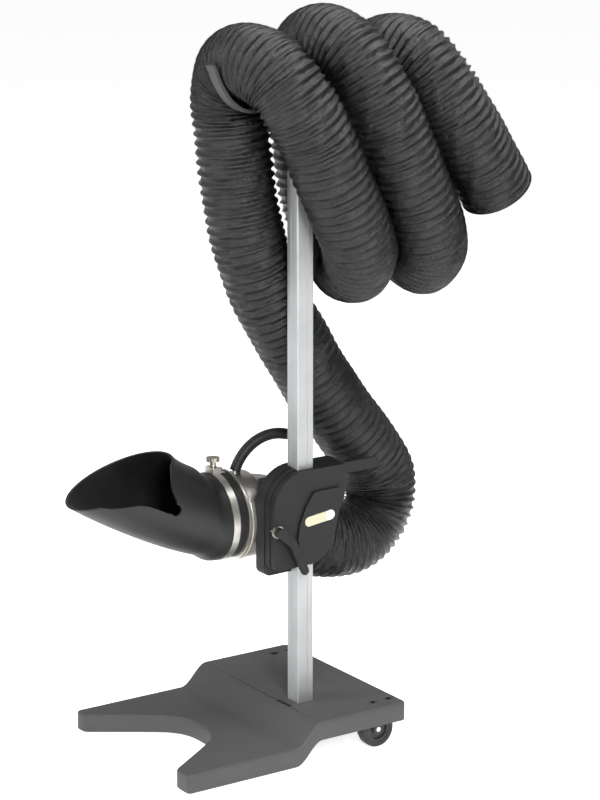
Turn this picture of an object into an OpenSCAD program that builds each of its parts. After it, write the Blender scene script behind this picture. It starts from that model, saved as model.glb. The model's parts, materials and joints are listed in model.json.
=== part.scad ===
// Wheeled floor stand for a flexible air hose with a swivelling rubber scoop nozzle.
// Millimetres, +Z up, nozzle and prongs towards -Y, origin on the floor under the middle of the stand.

/* [Base] */
// Overall width of the moulded base
base_w = 348; // [320:1:380]
// Y of the rear edge of the base
base_rear_y = 200; // [195:1:215]
// Y of the prong tips
base_tip_y = -215; // [-230:1:-205]
// Height of the rear deck above the floor
deck_z = 67; // [66:1:72]
// Height of the prong tops above the floor
prong_z = 32; // [30:1:36]
// Depth of the skirt under the top surface
skirt_h = 30; // [26:1:30]
// Wall thickness of the moulded shell
shell_t = 4; // [3:0.5:4]
// Half width of the notch between the prong tips
notch_half_w = 140; // [120:1:145]
// X of the middle of the notch
notch_x = -6; // [-10:1:10]
// Y of the apex of the notch between the prongs
notch_y = -80; // [-100:1:-70]

/* [Wheels] */
// Radius of the rear wheels
wheel_r = 29.5; // [27:0.5:29.5]
// Width of a wheel
wheel_w = 18; // [14:1:18]
// Radius of the axle bolts
axle_r = 4; // [3:0.5:5]
// Radial running clearance of the wheel on its axle
axle_gap = 0.05; // [0.02:0.01:0.10]

/* [Post] */
// Width across the square aluminium profile
post_w = 30; // [28:1:30]
// Z of the top of the profile
post_top_z = 1028; // [900:1:1028]
// Width of the shallow recess in each face
groove_w = 8; // [6:0.5:10]

/* [Hose hanger] */
// Width of the bent strip
strip_w = 20; // [16:1:21]
// Thickness of the bent strip
strip_t = 5; // [3:0.5:6]

/* [Carriage] */
// Thickness of the carriage outside the post, on the cover side
near_t = 9.5; // [8:0.5:12]
// Thickness of the carriage outside the post, on the duct side
far_t = 6.5; // [5:0.5:7]
// Gap between the carriage channel and the post on each side
glide_gap = 1.5; // [1:0.1:2]

/* [Duct] */
// Radius of the stainless can and of the spigot inside the nozzle
can_r = 64; // [60:1:64]
// Radius of the elbow tube that the hose cuff fits
elbow_r = 57; // [52:1:57]
// Sheet thickness of the duct
duct_t = 1.5; // [1:0.1:2]
// Radius of the flange ring
flange_r = 72; // [68:1:74]
// Angle that the elbow turns downwards
elbow_angle = 40; // [30:1:45]

/* [Nozzle] */
// Outside radius of the nozzle at its cuff
cuff_r = 70; // [68:1:72]
// Half width of the opening
mouth_half_w = 72; // [60:1:80]
// Half length of the opening
mouth_half_l = 94; // [80:1:100]
// Thickness of the rubber wall
rubber_t = 4; // [3:0.5:5]

/* [Hose] */
// Outside radius of the hose
hose_r = 60; // [55:1:60]
// Wall thickness of the hose
hose_t = 2.5; // [2:0.5:4]

/* [Hidden] */
$fn = 96;
post_x = 66;
post_y = 64;
channel_w = post_w + 2 * glide_gap;

// Base
curve_y = [-16, 34];
foot_y = -196;
foot_x = 156;
foot_r = 9;
foot_h = 3;
latch_y = post_y - 31;
latch_w = 38;
bolt_x = 143;
bolt_y = [153, 184];
wheel_y = 146;
wheel_x = base_w / 2 - shell_t - 1.5 - wheel_w / 2;
deck_under_z = deck_z - shell_t;

// Carriage outline in Y and Z
carriage_y0 = -5;
carriage_z0 = 292;
carriage_top = 458;
carriage_x0 = post_x - channel_w / 2 - far_t;
carriage_x1 = post_x + channel_w / 2 + near_t;
carriage_bolt_at = [[34, 436], [22, 314], [120, 431]];
arm_bolt_y = [84, 104];
arm_z = 432;
arm_t = 3;
badge_at = [81, 375];
badge_tilt = 7;

// Duct axis
duct_x = -24;
duct_z = 370;
flange_y = -16;
flange_t = 4;
can_end_y = 20;
body_r = 70;
body_z = duct_z - 5;
bend_r = 75;
spigot_len = 20;
elbow_end_y = can_end_y + bend_r * sin(elbow_angle);
elbow_end_z = duct_z - bend_r * (1 - cos(elbow_angle));
cuff_wall = 3.2;

// Nozzle
mouth_c = [duct_x + 2, -215, 456];
mouth_tilt = 19.6;
nozzle_end_y = flange_y - flange_t - 0.3;
band_y = -42;
knob_y = band_y;
cuff_len = 36.5;
cuff_t = cuff_r - can_r - 0.4;

// Clamp lever
lever_y = 3;
lever_z = 364;

// Hanger strip centre line in Y and Z
hanger_path = [
    [-97, 1099], [-84, 1070], [-66, 1044], [-44, 1029], [-24, 1026], [16, 1030],
    [38, 1033.4], [52, 1033.9], [78, 1033.9], [92, 1036], [112, 1043], [164, 1041],
    [214, 1028], [232, 1026.5], [248, 1026]
];

// Hose route along its centre line, from the cuff to the free end
hose_route = [
    [-24, 85, 339], [-23, 116, 315], [-20, 164, 294], [-18, 212, 290], [-18, 256, 310],
    [-18, 280, 356], [-18, 270, 408], [-18, 220, 476], [-17, 158, 557], [-15, 108, 634],
    [-14, 58, 715], [-12, 22, 800], [-12, 3, 880], [-12, -9, 967], [-8, -18, 1035],
    [18, -25, 1084], [66, -26, 1099], [114, -13, 1084], [140, 12, 1037], [145, 42, 985],
    [144, 72, 922], [138, 108, 858], [118, 140, 804], [66, 160, 767], [14, 157, 803],
    [-10, 148, 864], [-14, 134, 950], [-8, 122, 1040], [18, 112, 1102], [66, 111, 1120],
    [114, 126, 1100], [140, 150, 1045], [145, 178, 990], [144, 208, 928], [138, 244, 860],
    [118, 276, 803], [66, 297, 766], [14, 294, 800], [-10, 285, 864], [-14, 268, 950],
    [-8, 252, 1030], [18, 245, 1082], [66, 246, 1098], [108, 262, 1082], [134, 290, 1030],
    [138, 330, 970], [134, 368, 918], [128, 398, 875]
];

// ---------- shared helpers ----------

// Points of an arc about c, from angle a0 to a1
function arc(c, r, a0, a1, n = 8) =
    [for (i = [0:n]) let (a = a0 + (a1 - a0) * i / n) c + r * [cos(a), sin(a)]];

// Where the line through p along u meets the line through q along v
function meet(p, u, q, v) =
    let (k = ((q[0] - p[0]) * v[1] - (q[1] - p[1]) * v[0]) / (u[0] * v[1] - u[1] * v[0]))
    p + k * u;

function unit(v) = v / norm(v);
function left_of(v) = [-v[1], v[0]];

// Anticlockwise outline moved inwards by d
function inset(pts, d) =
    let (n = len(pts))
    [for (i = [0:n - 1])
        let (a = pts[(i + n - 1) % n], b = pts[i], c = pts[(i + 1) % n])
        let (u = unit(b - a), v = unit(c - b))
        norm(u - v) < 0.001 ? b + d * left_of(u)
            : meet(b + d * left_of(u), u, b + d * left_of(v), v)];

// One point of a smooth curve through the points p, at t from 0 to len(p) - 1
function on_curve(p, t) =
    let (n = len(p), i = min(floor(t), n - 2), f = t - i)
    let (b = p[i], c = p[i + 1])
    let (a = i > 0 ? p[i - 1] : 2 * b - c, d = i < n - 2 ? p[i + 2] : 2 * c - b)
    0.5 * (2 * b + (c - a) * f + (2 * a - 5 * b + 4 * c - d) * f * f
        + (3 * b - a - 3 * c + d) * f * f * f);

// Sides of a flat strip of thickness t along the points p
function strip_outline(p, t) =
    let (n = len(p))
    let (side = [for (i = [0:n - 1])
        left_of(unit(p[min(i + 1, n - 1)] - p[max(i - 1, 0)])) * t / 2])
    concat([for (i = [0:n - 1]) p[i] - side[i]], [for (i = [n - 1:-1:0]) p[i] + side[i]]);

// Solid of constant section in Y and Z, from x0 to x1
module along_x(x0, x1) {
    translate([x0, 0, 0])
        rotate([90, 0, 90])
            linear_extrude(x1 - x0)
                children();
}

module rod_x(x0, x1, y, z, r) {
    translate([x0, y, z])
        rotate([0, 90, 0])
            cylinder(h = x1 - x0, r = r);
}

module rod_y(y0, y1, x, z, r) {
    translate([x, y1, z])
        rotate([90, 0, 0])
            cylinder(h = y1 - y0, r = r);
}

module tube_y(y0, y1, x, z, r, inner) {
    difference() {
        rod_y(y0, y1, x, z, r);
        rod_y(y0 - 1, y1 + 1, x, z, inner);
    }
}

module both_sides() {
    children();
    mirror([1, 0, 0])
        children();
}

module box_at(lo, hi) {
    translate(lo)
        cube(hi - lo);
}

// Hex-socket screw head pointing up, with its top at z
module socket_head(x, y, z, r, h) {
    difference() {
        translate([x, y, z - h])
            cylinder(h = h, r = r);
        translate([x, y, z - h / 2])
            cylinder(h = h, r = r * 0.5, $fn = 6);
    }
}

// ---------- base ----------

// Plan of the base, anticlockwise, with a notch between two tapering prongs
function base_plan() =
    let (w = base_w / 2, c = 12, h = notch_half_w, y = base_tip_y)
    let (right_notch = [[20, notch_y - 1], [42, notch_y - 7], [60, notch_y - 19], [74, notch_y - 35],
        [h - 6, y + 12], [h, y + 3], [h + 7, y]])
    let (left_notch = [for (i = [len(right_notch) - 1:-1:0]) [-right_notch[i][0], right_notch[i][1]]])
    concat([for (p = right_notch) p + [notch_x, 0]],
        arc([w - 5, y + 5], 5, -90, 0, 4),
        arc([w - c, base_rear_y - c], c, 0, 90, 6),
        arc([c - w, base_rear_y - c], c, 90, 180, 6),
        arc([5 - w, y + 5], 5, 180, 270, 4),
        [for (p = left_notch) p + [notch_x, 0]]);

// Height of the top surface at y
function deck_top(y) =
    let (t = min(1, max(0, (y - curve_y[0]) / (curve_y[1] - curve_y[0]))))
    prong_z + (deck_z - prong_z) * (1 - cos(180 * t)) / 2;

// Side section of the base between the top surface dropped by top and the skirt edge
module base_side(top, bottom) {
    n = 14;
    span = curve_y[1] - curve_y[0];
    ys = [for (i = [0:n]) curve_y[0] + span * i / n];
    y0 = base_tip_y - 20;
    y1 = base_rear_y + 20;
    upper = concat([[y0, prong_z]], [for (y = ys) [y, deck_top(y)]], [[y1, deck_z]]);
    polygon(concat([for (p = upper) p - [0, bottom]],
        [for (i = [len(upper) - 1:-1:0]) upper[i] - [0, top]]));
}

module base_body(d) {
    intersection() {
        along_x(-base_w, base_w)
            base_side(d, d > 0 ? skirt_h + 20 : skirt_h);
        translate([0, 0, -20])
            linear_extrude(deck_z + 40)
                polygon(inset(base_plan(), d));
    }
}

module slot_cut(x, y, length, width, z0, z1) {
    for (s = [-1, 1])
        translate([x, y + s * (length - width) / 2, z0])
            cylinder(h = z1 - z0, r = width / 2);
    box_at([x - width / 2, y - (length - width) / 2, z0],
        [x + width / 2, y + (length - width) / 2, z1]);
}

// Moulded shell, open underneath
module base_shell() {
    w = post_w / 2 + 0.4;
    color([0.33, 0.33, 0.34])
        difference() {
            union() {
                difference() {
                    base_body(0);
                    base_body(shell_t);
                }
                both_sides()
                    translate([foot_x, foot_y, foot_h])
                        cylinder(h = prong_z - foot_h - 1, r = foot_r);
            }
            box_at([post_x - w, post_y - w, 0], [post_x + w, post_y + w, deck_z + 1]);
            both_sides()
                for (y = bolt_y) {
                    slot_cut(bolt_x, y, 18, 9, deck_z - 1.5, deck_z + 1);
                    translate([bolt_x, y, 0])
                        cylinder(h = deck_z, r = 3.3);
                }
            box_at([post_x - latch_w / 2, latch_y - 3, 0],
                [post_x + latch_w / 2, latch_y + 3, deck_z + 1]);
        }
}

module deck_bolts() {
    color([0.08, 0.08, 0.09])
        both_sides()
            for (y = bolt_y) {
                socket_head(bolt_x, y, deck_z + 0.7, 3.9, 2.2);
                translate([bolt_x, y, deck_under_z - 6])
                    cylinder(h = 8.5, r = 3);
            }
}

module front_feet() {
    color([0.06, 0.06, 0.06])
        both_sides()
            translate([foot_x, foot_y, 0])
                cylinder(h = foot_h, r = foot_r);
}

// Steel plate that keeps the stand from tipping
module ballast_plate() {
    w = 25;
    color([0.25, 0.25, 0.27])
        difference() {
            box_at([-125, 45, deck_under_z - 8], [125, 186, deck_under_z]);
            box_at([post_x - w, 40, deck_under_z - 9], [post_x + w, post_y + w, deck_under_z + 1]);
        }
}

module axle_brackets() {
    color([0.5, 0.5, 0.52])
        both_sides()
            difference() {
                union() {
                    box_at([136, 126, 16], [139, 192, deck_under_z]);
                    box_at([136, 126, deck_under_z - 2.5], [149, 192, deck_under_z]);
                }
                for (y = bolt_y)
                    translate([bolt_x, y, 0])
                        cylinder(h = deck_z, r = 3);
                rod_x(130, 150, wheel_y, wheel_r, axle_r);
            }
}

module axle_bolts() {
    color([0.7, 0.7, 0.72])
        both_sides() {
            rod_x(133, wheel_x + wheel_w / 2 + 0.3, wheel_y, wheel_r, axle_r);
            rod_x(139, wheel_x - wheel_w / 2 - 0.3, wheel_y, wheel_r, 7);
            rod_x(130, 136, wheel_y, wheel_r, 7);
        }
}

module tyre(side) {
    x = side * wheel_x;
    color([0.05, 0.05, 0.05])
        translate([x, wheel_y, wheel_r])
            rotate([0, 90, 0])
                rotate_extrude()
                    polygon(concat(
                        [[21, -wheel_w / 2], [wheel_r - 3, -wheel_w / 2]],
                        arc([wheel_r - 3, -wheel_w / 2 + 3], 3, -90, 0, 4),
                        arc([wheel_r - 3, wheel_w / 2 - 3], 3, 0, 90, 4),
                        [[21, wheel_w / 2]]));
}

module hub(side) {
    x = side * wheel_x;
    h = wheel_w / 2;
    color([0.1, 0.1, 0.1])
        translate([x, wheel_y, wheel_r])
            rotate([0, 90, 0])
                difference() {
                    rotate_extrude()
                        polygon([[0, -h + 0.5], [9, -h + 0.5], [9, -4], [17, -4],
                            [17, -h + 1], [21, -h + 1], [21, h - 1], [17, h - 1],
                            [17, 4], [9, 4], [9, h - 0.5], [0, h - 0.5]]);
                    cylinder(h = 60, r = axle_r + axle_gap, center = true);
                }
}

// ---------- post ----------

// Hollow square profile with a shallow recess in each face and a core with a screw hole
module post_section() {
    w = post_w / 2;
    r = 2;
    wall = 2.2;
    difference() {
        polygon(concat(arc([w - r, w - r], r, 0, 90, 4), arc([r - w, w - r], r, 90, 180, 4),
            arc([r - w, r - w], r, 180, 270, 4), arc([w - r, r - w], r, 270, 360, 4)));
        for (a = [0:90:270])
            rotate(a)
                translate([w - 0.6, -groove_w / 2])
                    square([4, groove_w]);
        difference() {
            square(2 * (w - wall), center = true);
            circle(r = 6.5);
            for (a = [45, 135])
                rotate(a)
                    square([3 * w, 2], center = true);
        }
        circle(r = 3.4);
    }
}

module post() {
    foot_z = 40;
    color([0.78, 0.79, 0.8])
        translate([post_x, post_y, foot_z])
            linear_extrude(post_top_z - foot_z)
                post_section();
}

module post_socket() {
    w = 24;
    in_w = post_w / 2 + 0.02;
    color([0.12, 0.12, 0.13])
        difference() {
            box_at([post_x - w, post_y - w, 36], [post_x + w, post_y + w, deck_under_z]);
            box_at([post_x - in_w, post_y - in_w, 40], [post_x + in_w, post_y + in_w, deck_z]);
            translate([post_x, post_y, 30])
                cylinder(h = 20, r = 3.4);
            for (s = [-1, 1])
                translate([post_x + s * 19.5, post_y, 30])
                    cylinder(h = 30, r = 2.5);
        }
}

// Sprung tongue in the deck slot that locks the post foot
module post_latch() {
    z = deck_z - 2;
    color([0.05, 0.05, 0.05]) {
        box_at([post_x - latch_w / 2 + 0.5, latch_y - 2.5, deck_under_z - 3],
            [post_x + latch_w / 2 - 0.5, latch_y + 2.5, z]);
        box_at([post_x - 10, latch_y - 2.5, deck_under_z - 3], [post_x + 10, post_y - 24, deck_under_z]);
    }
}

module socket_bolts() {
    color([0.6, 0.6, 0.62]) {
        for (s = [-1, 1])
            translate([post_x + s * 19.5, post_y, 33])
                cylinder(h = 26, r = 2.5);
        for (s = [-1, 1])
            translate([post_x + s * 19.5, post_y, 33])
                cylinder(h = 3, r = 4.3);
        translate([post_x, post_y, 33])
            cylinder(h = 24, r = 3.4);
        translate([post_x, post_y, 33])
            cylinder(h = 3, r = 6);
    }
}

module post_cap() {
    w = post_w / 2;
    color([0.06, 0.06, 0.06])
        difference() {
            box_at([post_x - w, post_y - w, post_top_z], [post_x + w, post_y + w, post_top_z + 3]);
            translate([post_x, post_y, post_top_z - 1])
                cylinder(h = 8, r = 3.4);
        }
}

// ---------- hose hanger ----------

// Bent strip that cradles the loops of the hose
module hose_hanger() {
    n = 4;
    last = len(hanger_path) - 1;
    line = [for (i = [0:n * last]) on_curve(hanger_path, i / n)];
    color([0.42, 0.42, 0.43])
        difference() {
            along_x(post_x - strip_w / 2, post_x + strip_w / 2)
                polygon(strip_outline(line, strip_t));
            translate([post_x, post_y, post_top_z])
                cylinder(h = 30, r = 3.4);
        }
}

module hanger_screws() {
    z = post_top_z + 3;
    color([0.7, 0.7, 0.72]) {
        translate([post_x, post_y, z - 20])
            cylinder(h = 20 + strip_t + 1, r = 3.35);
        socket_head(post_x, post_y, z + strip_t + 4.9, 6.5, 4.4);
    }
}

// ---------- carriage ----------

// Outline of the carriage in Y and Z, anticlockwise, with its front lower edge at z0
function carriage_outline(z0) = concat(
    arc([carriage_y0 + 12, z0 + 12], 12, 180, 270, 6),
    [[62, z0 + 1]],
    [[80, carriage_z0 + 10]],
    [[98, carriage_z0 + 18]],
    [[112, carriage_z0 + 36]],
    [[118, carriage_z0 + 60]],
    [[124, carriage_z0 + 86]],
    [[134, carriage_z0 + 108]],
    arc([131, carriage_top - 8], 8, 0, 90, 4),
    [[56, carriage_top]],
    arc([56, carriage_top - 61], 61, 95, 175, 12));

module carriage_half(x0, x1, z0, d = 0) {
    w = channel_w / 2;
    difference() {
        along_x(x0, x1)
            polygon(inset(carriage_outline(z0), d));
        box_at([post_x - w, post_y - w, 200], [post_x + w, post_y + w, 600]);
        for (p = carriage_bolt_at)
            rod_x(x0 - 1, min(x1 + 1, carriage_x1 - 6), p[0], p[1], 3);
    }
}

module carriage_near_half() {
    step_x = carriage_x1 - 13;
    color([0.12, 0.12, 0.13])
        difference() {
            union() {
                carriage_half(post_x + 0.2, step_x, carriage_z0 + 4, 1.5);
                carriage_half(step_x, carriage_x1, carriage_z0 + 4, 3);
            }
            rod_x(post_x - 1, carriage_x1 + 1, lever_y, lever_z, 5.05);
        }
}

module carriage_far_half() {
    color([0.1, 0.1, 0.11])
        difference() {
            carriage_half(carriage_x0, post_x - 0.2, carriage_z0 - 7);
            rod_x(post_x - 12, post_x + 1, lever_y, lever_z, 5.05);
            rod_y(carriage_y0 - 1, can_end_y + 1, duct_x, body_z, body_r);
            for (p = carriage_bolt_at)
                rod_x(carriage_x0 - 1, carriage_x0 + 5, p[0], p[1], 5.6);
        }
}

module carriage_bolts() {
    color([0.05, 0.05, 0.05])
        for (p = carriage_bolt_at) {
            rod_x(carriage_x0 + 0.5, carriage_x1 - 6, p[0], p[1], 3);
            rod_x(carriage_x0 + 0.5, carriage_x0 + 5, p[0], p[1], 5.5);
        }
}

// Raised D-shaped cover on the near face
function cover_outline() = concat(
    [[64, 301]],
    [[82, 307]],
    [[96, 317]],
    [[106, 333]],
    [[112, 357]],
    [[118, 382]],
    arc([117, 414], 6, 0, 90, 4),
    arc([75, 411], 8, 90, 150, 4),
    [[55, 397]],
    [[44, 370]],
    [[40, 347]],
    [[44, 324]],
    [[52, 309]]);

module cover_panel() {
    color([0.13, 0.13, 0.14])
        difference() {
            along_x(carriage_x1, carriage_x1 + 4)
                polygon(cover_outline());
            translate([carriage_x1 + 3.2, badge_at[0], badge_at[1]])
                rotate([badge_tilt, 0, 0])
                    badge_solid(57, 16);
        }
}

module badge_solid(length, height) {
    r = height / 2;
    for (s = [-1, 1])
        rod_x(0, 1.6, s * (length / 2 - r), 0, r);
    box_at([0, r - length / 2, -r], [1.6, length / 2 - r, r]);
}

module badge() {
    color([0.9, 0.9, 0.8])
        translate([carriage_x1 + 3.2, badge_at[0], badge_at[1]])
            rotate([badge_tilt, 0, 0])
                badge_solid(56.6, 15.6);
}

// Plastic strips on which the carriage slides
module glide_liners() {
    t = glide_gap - 0.1;
    w = channel_w / 2;
    color([0.85, 0.85, 0.82])
        for (z = [carriage_z0 + 12, carriage_top - 42]) {
            box_at([post_x - 14, post_y - w, z], [post_x - 5, post_y - w + t, z + 30]);
            box_at([post_x + 5, post_y - w, z], [post_x + 14, post_y - w + t, z + 30]);
            box_at([post_x - 14, post_y + w - t, z], [post_x - 5, post_y + w, z + 30]);
            box_at([post_x + 5, post_y + w - t, z], [post_x + 14, post_y + w, z + 30]);
            box_at([post_x - w, post_y + 5, z], [post_x - w + t, post_y + 14, z + 30]);
            box_at([post_x + w - t, post_y + 5, z], [post_x + w, post_y + 14, z + 30]);
        }
}

// Brake pad that the lever presses on the post
module clamp_pad() {
    w = channel_w / 2;
    color([0.25, 0.12, 0.08])
        box_at([post_x - 14, post_y - w, lever_z - 12],
            [post_x + 14, post_y - w + glide_gap - 0.1, lever_z + 12]);
}

// Arm behind the carriage that keeps the hose off the post
module support_arm() {
    x1 = carriage_x0;
    x0 = x1 - arm_t;
    r = 9;
    end_y = 222;
    color([0.07, 0.07, 0.08])
        difference() {
            union() {
                box_at([x0, 70, arm_z - r], [x1, end_y, arm_z + r]);
                rod_x(x0, x1, end_y, arm_z, r);
            }
            for (y = arm_bolt_y)
                rod_x(x0 - 1, x1 + 1, y, arm_z, 2.5);
        }
}

module arm_bolts() {
    color([0.6, 0.6, 0.62])
        for (y = arm_bolt_y) {
            rod_x(carriage_x0 - arm_t, carriage_x0, y, arm_z, 2.5);
            rod_x(carriage_x0 - arm_t - 3, carriage_x0 - arm_t, y, arm_z, 4.5);
        }
}

// ---------- duct ----------

// Block with a hollow seat between the carriage and the stainless can
module duct_bracket() {
    color([0.1, 0.1, 0.11])
        difference() {
            union() {
                box_at([18, carriage_y0 + 1, duct_z - 34], [carriage_x0, can_end_y - 2, duct_z + 34]);
                box_at([24, can_end_y - 8, duct_z + 20], [carriage_x0, can_end_y + 15, duct_z + 64]);
            }
            rod_y(carriage_y0 - 20, can_end_y + 20, duct_x, body_z, body_r);
        }
}

module duct_flange() {
    y0 = flange_y - flange_t;
    color([0.62, 0.6, 0.56]) {
        tube_y(y0, flange_y, duct_x, duct_z, flange_r, can_r);
        tube_y(flange_y + 5, flange_y + 8, duct_x, body_z, body_r + 1.5, body_r);
    }
}

// Ring section swept round the bend of the elbow
module bend_shell(r, inner) {
    translate([duct_x, can_end_y, duct_z - bend_r])
        rotate([0, -90, 0])
            rotate_extrude(angle = elbow_angle)
                translate([bend_r, 0])
                    difference() {
                        circle(r = r);
                        circle(r = inner);
                    }
}

// Straight tube that carries on from the bend, from s0 to s1 along it
module outlet(s0, s1, r) {
    translate([duct_x, elbow_end_y, elbow_end_z])
        rotate([-90 - elbow_angle, 0, 0])
            translate([0, 0, s0])
                cylinder(h = s1 - s0, r = r);
}

// Thin stainless can, with the spigot that the nozzle turns on at its front
module duct_can() {
    spigot_y = -56;
    color([0.6, 0.58, 0.54])
        difference() {
            union() {
                rod_y(spigot_y, can_end_y, duct_x, duct_z, can_r);
                rod_y(flange_y, can_end_y, duct_x, body_z, body_r);
            }
            rod_y(spigot_y - 1, can_end_y - duct_t, duct_x, duct_z, can_r - duct_t);
            rod_y(flange_y + duct_t, can_end_y - duct_t, duct_x, body_z, body_r - duct_t);
            rod_y(can_end_y - 2 * duct_t, can_end_y + 1, duct_x, duct_z, elbow_r - duct_t);
        }
}

// Thin stainless bend and the outlet that the hose cuff is pushed on
module duct_elbow() {
    color([0.6, 0.58, 0.54]) {
        bend_shell(elbow_r, elbow_r - duct_t);
        difference() {
            outlet(0, spigot_len, elbow_r);
            outlet(-1, spigot_len + 1, elbow_r - duct_t);
        }
    }
}

// Curved handle above the duct
handle_c = [72, 410];
handle_r = 78;
handle_a = [72, 159];

module handle_arc(r, a0, a1) {
    translate([duct_x, handle_c[0], handle_c[1]])
        rotate([0, -90, 0])
            rotate([0, 0, 90 - a1])
                rotate_extrude(angle = a1 - a0)
                    translate([handle_r, 0])
                        circle(r = r);
}

module handle_rod() {
    y = handle_c[0] + handle_r * cos(handle_a[1] + 2);
    color([0.5, 0.5, 0.5])
        difference() {
            union() {
                handle_arc(5, handle_a[0], handle_a[1] + 2);
                translate([duct_x, y, body_z + body_r - 4])
                    cylinder(h = 6, r = 5.8);
            }
            rod_y(-100, 100, duct_x, body_z, body_r);
            rod_y(-100, flange_y + 8.3, duct_x, body_z, body_r + 1.8);
        }
}

grip_r = 9;

// Rubber sleeve on the handle, closed by a round tip
module handle_grip() {
    tip = handle_c + handle_r * [cos(handle_a[0]), sin(handle_a[0])];
    color([0.05, 0.05, 0.05]) {
        translate([duct_x, handle_c[0], handle_c[1]])
            rotate([0, -90, 0])
                rotate([0, 0, 90 - handle_a[1]])
                    rotate_extrude(angle = handle_a[1] - handle_a[0])
                        translate([handle_r, 0])
                            difference() {
                                circle(r = grip_r);
                                circle(r = 5);
                            }
        translate([duct_x, tip[0], tip[1]])
            rotate([handle_a[0] - 180, 0, 0])
                rotate_extrude()
                    intersection() {
                        circle(r = grip_r);
                        square(grip_r);
                    }
    }
}

module hose_cuff() {
    color([0.06, 0.06, 0.06])
        difference() {
            outlet(0, spigot_len, elbow_r + cuff_wall);
            outlet(-1, spigot_len + 1, elbow_r);
        }
}

module hose_clamp() {
    r = elbow_r + cuff_wall;
    mid = spigot_len / 2;
    color([0.7, 0.7, 0.72])
        difference() {
            union() {
                outlet(mid - 4.5, mid + 4.5, r + 1);
                translate([duct_x, elbow_end_y, elbow_end_z])
                    rotate([-90 - elbow_angle, 0, 0])
                        translate([-r - 8, -9, mid - 5.5])
                            cube([10, 18, 11]);
            }
            outlet(-5, spigot_len + 5, r);
        }
}

// ---------- clamp lever ----------

module lever_hub() {
    x = carriage_x1 + 0.3;
    color([0.7, 0.69, 0.66]) {
        rod_x(x, x + 4, lever_y, lever_z, 10);
        rod_x(post_x + 1, x + 4, lever_y, lever_z, 5);
    }
}

// Cranked handle, from the hub to a rounded tip
module lever_handle() {
    x = carriage_x1 + 4.3;
    crank = [21, -20];
    tip = [44, -68];
    color([0.12, 0.12, 0.13])
        translate([x, lever_y, lever_z]) {
            rod_x(0, 12, 0, 0, 8.5);
            hull() {
                rod_x(1, 11, 0, 0, 7, $fn = 32);
                rod_x(2, 12, crank[0], crank[1], 6.5, $fn = 32);
            }
            hull() {
                rod_x(2, 12, crank[0], crank[1], 6.5, $fn = 32);
                translate([8, tip[0], tip[1]])
                    sphere(r = 7, $fn = 32);
            }
        }
}

// ---------- nozzle ----------

// Cubic from p to q with end tangents u and v
function hermite(p, u, q, v, t) =
    (1 + 2 * t) * pow(1 - t, 2) * p + t * pow(1 - t, 2) * u
    + t * t * (3 - 2 * t) * q + t * t * (t - 1) * v;

// Point of the free curve of the scoop at angle a round it and t along it, d inside its outer skin
function scoop_curve(a, t, d) =
    let (low = (1 - sin(a)) / 2)
    let (start = [duct_x + (cuff_r - d) * cos(a), nozzle_end_y, duct_z + (cuff_r - d) * sin(a)])
    let (reach = mouth_half_l - d)
    let (end = mouth_c + [(mouth_half_w - d) * cos(a), reach * cos(mouth_tilt) * sin(a),
        reach * sin(mouth_tilt) * sin(a)])
    let (rise = 50 - 17 * low)
    hermite(start, [0, -(60 + 125 * low), 0], end,
        (110 + 200 * low) * [0, -cos(rise), sin(rise)], t);

function ease(t) =
    let (k = min(1, max(0, t)))
    k * k * (3 - 2 * k);

// The same with a straight round cuff, which turns on the spigot
function scoop(a, t, d) =
    let (p = scoop_curve(a, t, d), r = cuff_r - d)
    let (on_cuff = [duct_x + r * cos(a), p[1], duct_z + r * sin(a)])
    let (k = ease((nozzle_end_y - p[1] - cuff_len) / 28))
    on_cuff + k * (p - on_cuff);

module nozzle() {
    sides = 48;
    steps = 14;
    // The rings run forwards over the outer skin and back over the inner skin
    rings = concat([for (i = [0:steps]) [i / steps, 0]],
        [for (i = [steps:-1:0]) [i / steps, max(rubber_t, cuff_t - 6 * i / steps)]]);
    pts = [for (k = rings) for (j = [0:sides - 1]) scoop(360 * j / sides, k[0], k[1])];
    n = len(rings);
    faces = [for (i = [0:n - 1]) for (j = [0:sides - 1])
        let (a = i * sides + j, b = i * sides + (j + 1) % sides)
        let (c = ((i + 1) % n) * sides + (j + 1) % sides, d = ((i + 1) % n) * sides + j)
        for (f = [[a, b, c], [a, c, d]]) [f[2], f[1], f[0]]];
    color([0.06, 0.06, 0.07])
        difference() {
            polyhedron(pts, faces);
            keyhole();
        }
}

// Notch with a round end in the near lip of the scoop
module keyhole() {
    along_x(duct_x + 22, duct_x + 100) {
        polygon([[-290, 440], [-270, 430], [-240, 430], [-213, 432], [-185, 420], [-159, 406],
            [-150, 424], [-160, 446], [-156, 466], [-140, 500], [-290, 500]]);
        translate([-154, 414])
            circle(r = 9);
    }
}

module band_clamp() {
    color([0.7, 0.68, 0.63])
        tube_y(band_y - 6, band_y + 6, duct_x, duct_z, cuff_r + 1.6, cuff_r + 0.4);
}

module band_bracket() {
    r = cuff_r + 1.6;
    color([0.75, 0.73, 0.68])
        difference() {
            union() {
                box_at([duct_x - 12, band_y - 7, duct_z + r - 4],
                    [duct_x + 12, band_y + 7, duct_z + r + 9]);
                box_at([duct_x - 10, band_y + 7, duct_z + r - 4],
                    [duct_x + 10, band_y + 16, duct_z + r + 1]);
            }
            rod_y(-100, 100, duct_x, duct_z, r);
            translate([duct_x, knob_y, duct_z])
                cylinder(h = 100, r = 3.05);
        }
}

module band_bolt() {
    z = duct_z + cuff_r + 2.6;
    color([0.6, 0.6, 0.6])
        translate([duct_x, band_y + 12, z])
            cylinder(h = 5, r = 4.5, $fn = 6);
}

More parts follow.
